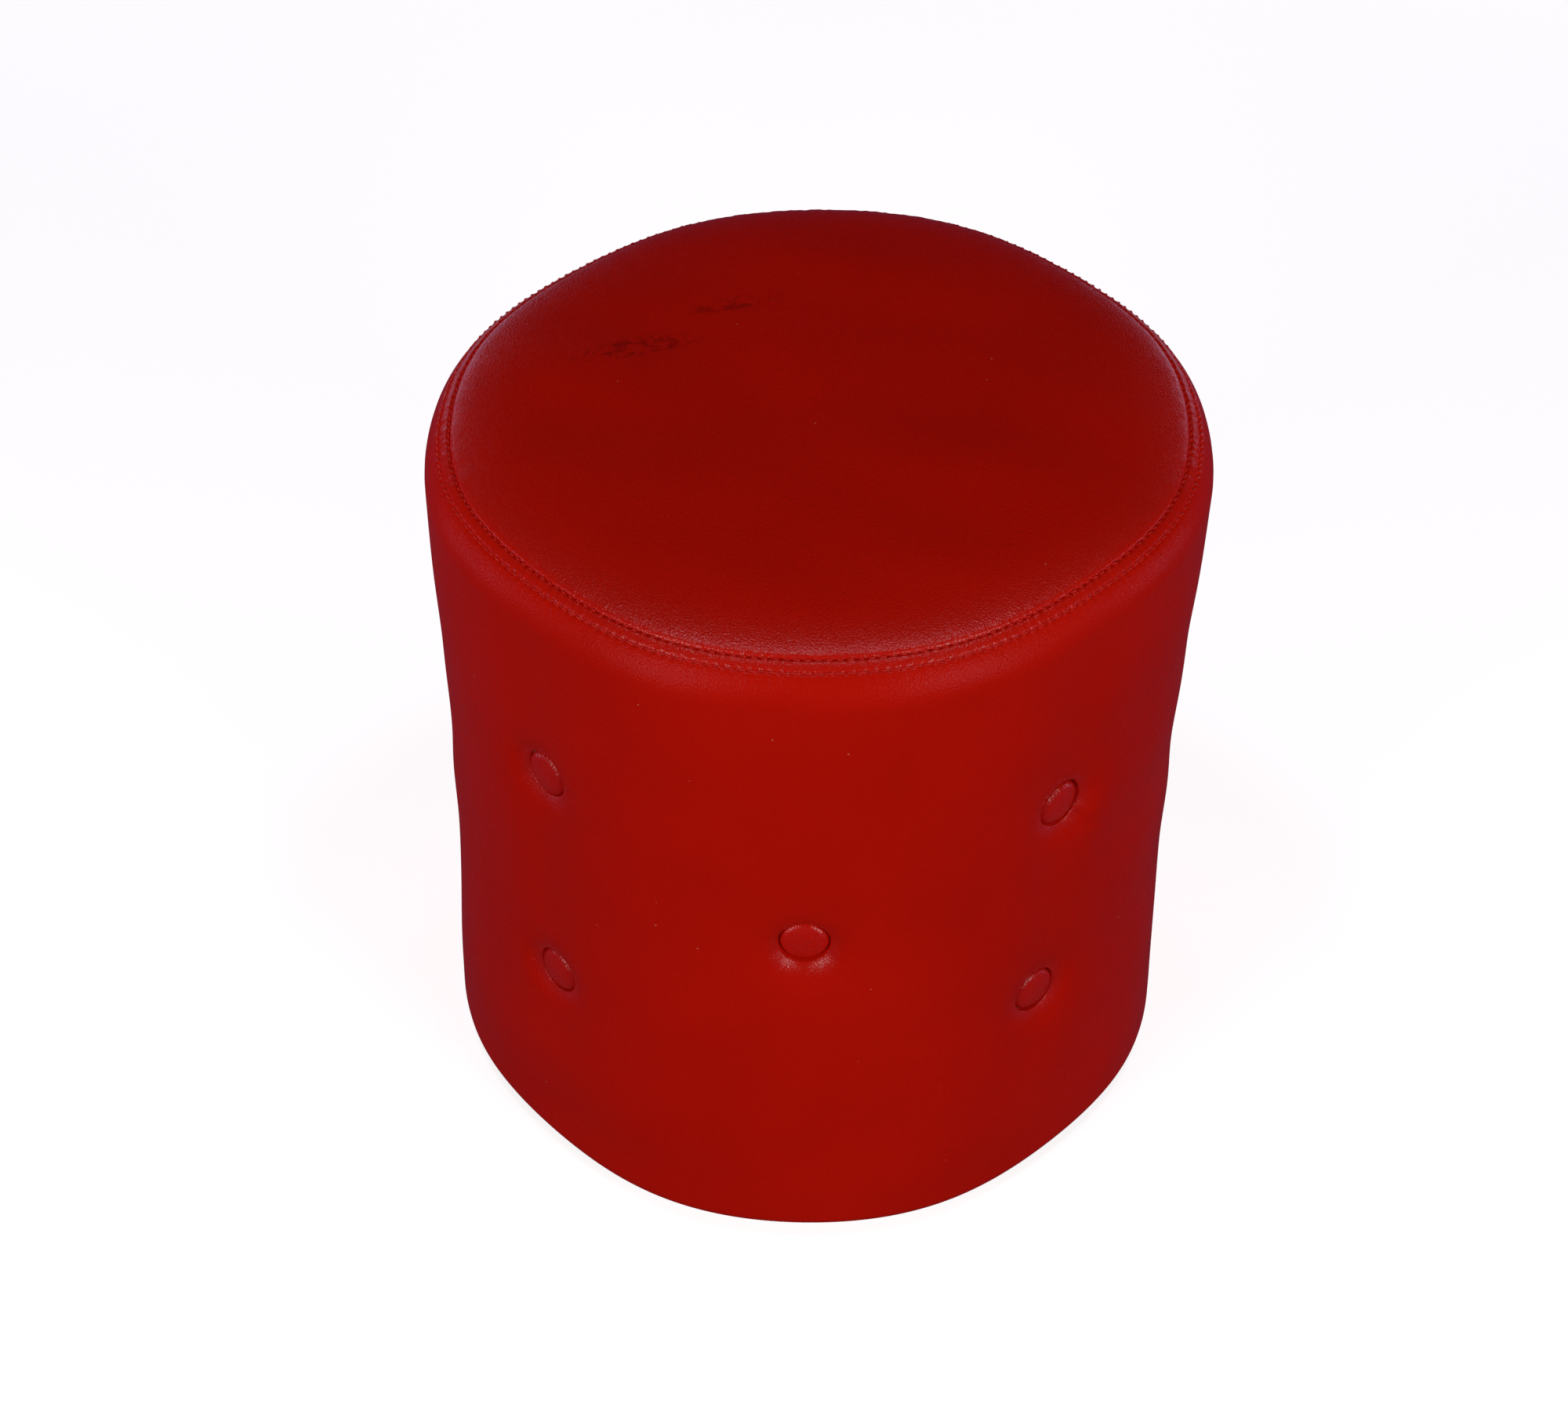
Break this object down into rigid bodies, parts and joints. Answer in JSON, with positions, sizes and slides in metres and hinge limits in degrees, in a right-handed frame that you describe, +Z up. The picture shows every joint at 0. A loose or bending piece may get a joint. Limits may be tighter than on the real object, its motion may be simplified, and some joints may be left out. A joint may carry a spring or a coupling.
{
  "type": "button-tufted pouf stool",
  "caption": "Round upholstered pouf stool with a domed seat panel, a straight side pulled in by covered buttons, a topstitched seam, a board and post frame and low glides.",
  "frame": {"origin": "on the floor under the middle of the stool", "axes": "+Z up; the front, where one middle button faces, towards -Y; +X to the right seen from the front"},
  "size_m": [0.3888, 0.3888, 0.4],
  "materials": {
    "cover": "deep red leatherette with a fine grain and a low sheen",
    "thread": "twisted red sewing thread",
    "foam": "pale yellow open foam",
    "plywood": "birch plywood with layered edge",
    "timber": "planed pine",
    "board": "brown bent fibreboard",
    "steel": "zinc plated steel",
    "twine": "waxed white twine",
    "dust_cloth": "black bonded cloth",
    "glide": "black moulded plastic"
  },
  "bodies": {
    "root": {"base_board": "plywood", "button_cores": "steel", "button_twines": "twine", "cover_staples": "steel", "dust_cover": "dust_cloth", "dust_cover_staples": "steel", "glide_1": "glide", "glide_2": "glide", "glide_3": "glide", "glide_4": "glide", "glide_screws": "steel", "lower_button_1": "cover", "lower_button_2": "cover", "lower_button_3": "cover", "lower_button_4": "cover", "lower_post_screws": "steel", "middle_button_1": "cover", "middle_button_2": "cover", "middle_button_3": "cover", "middle_button_4": "cover", "post_1": "timber", "post_2": "timber", "post_3": "timber", "post_4": "timber", "seam_thread": "thread", "seat_foam": "foam", "side_cover": "cover", "side_foam": "foam", "tie_washers": "steel", "top_board": "plywood", "top_cover": "cover", "topstitch_thread": "thread", "upper_button_1": "cover", "upper_button_2": "cover", "upper_button_3": "cover", "upper_button_4": "cover", "upper_post_screws": "steel", "wall_staples": "steel", "wall_tube": "board"}
  },
  "joints": []
}
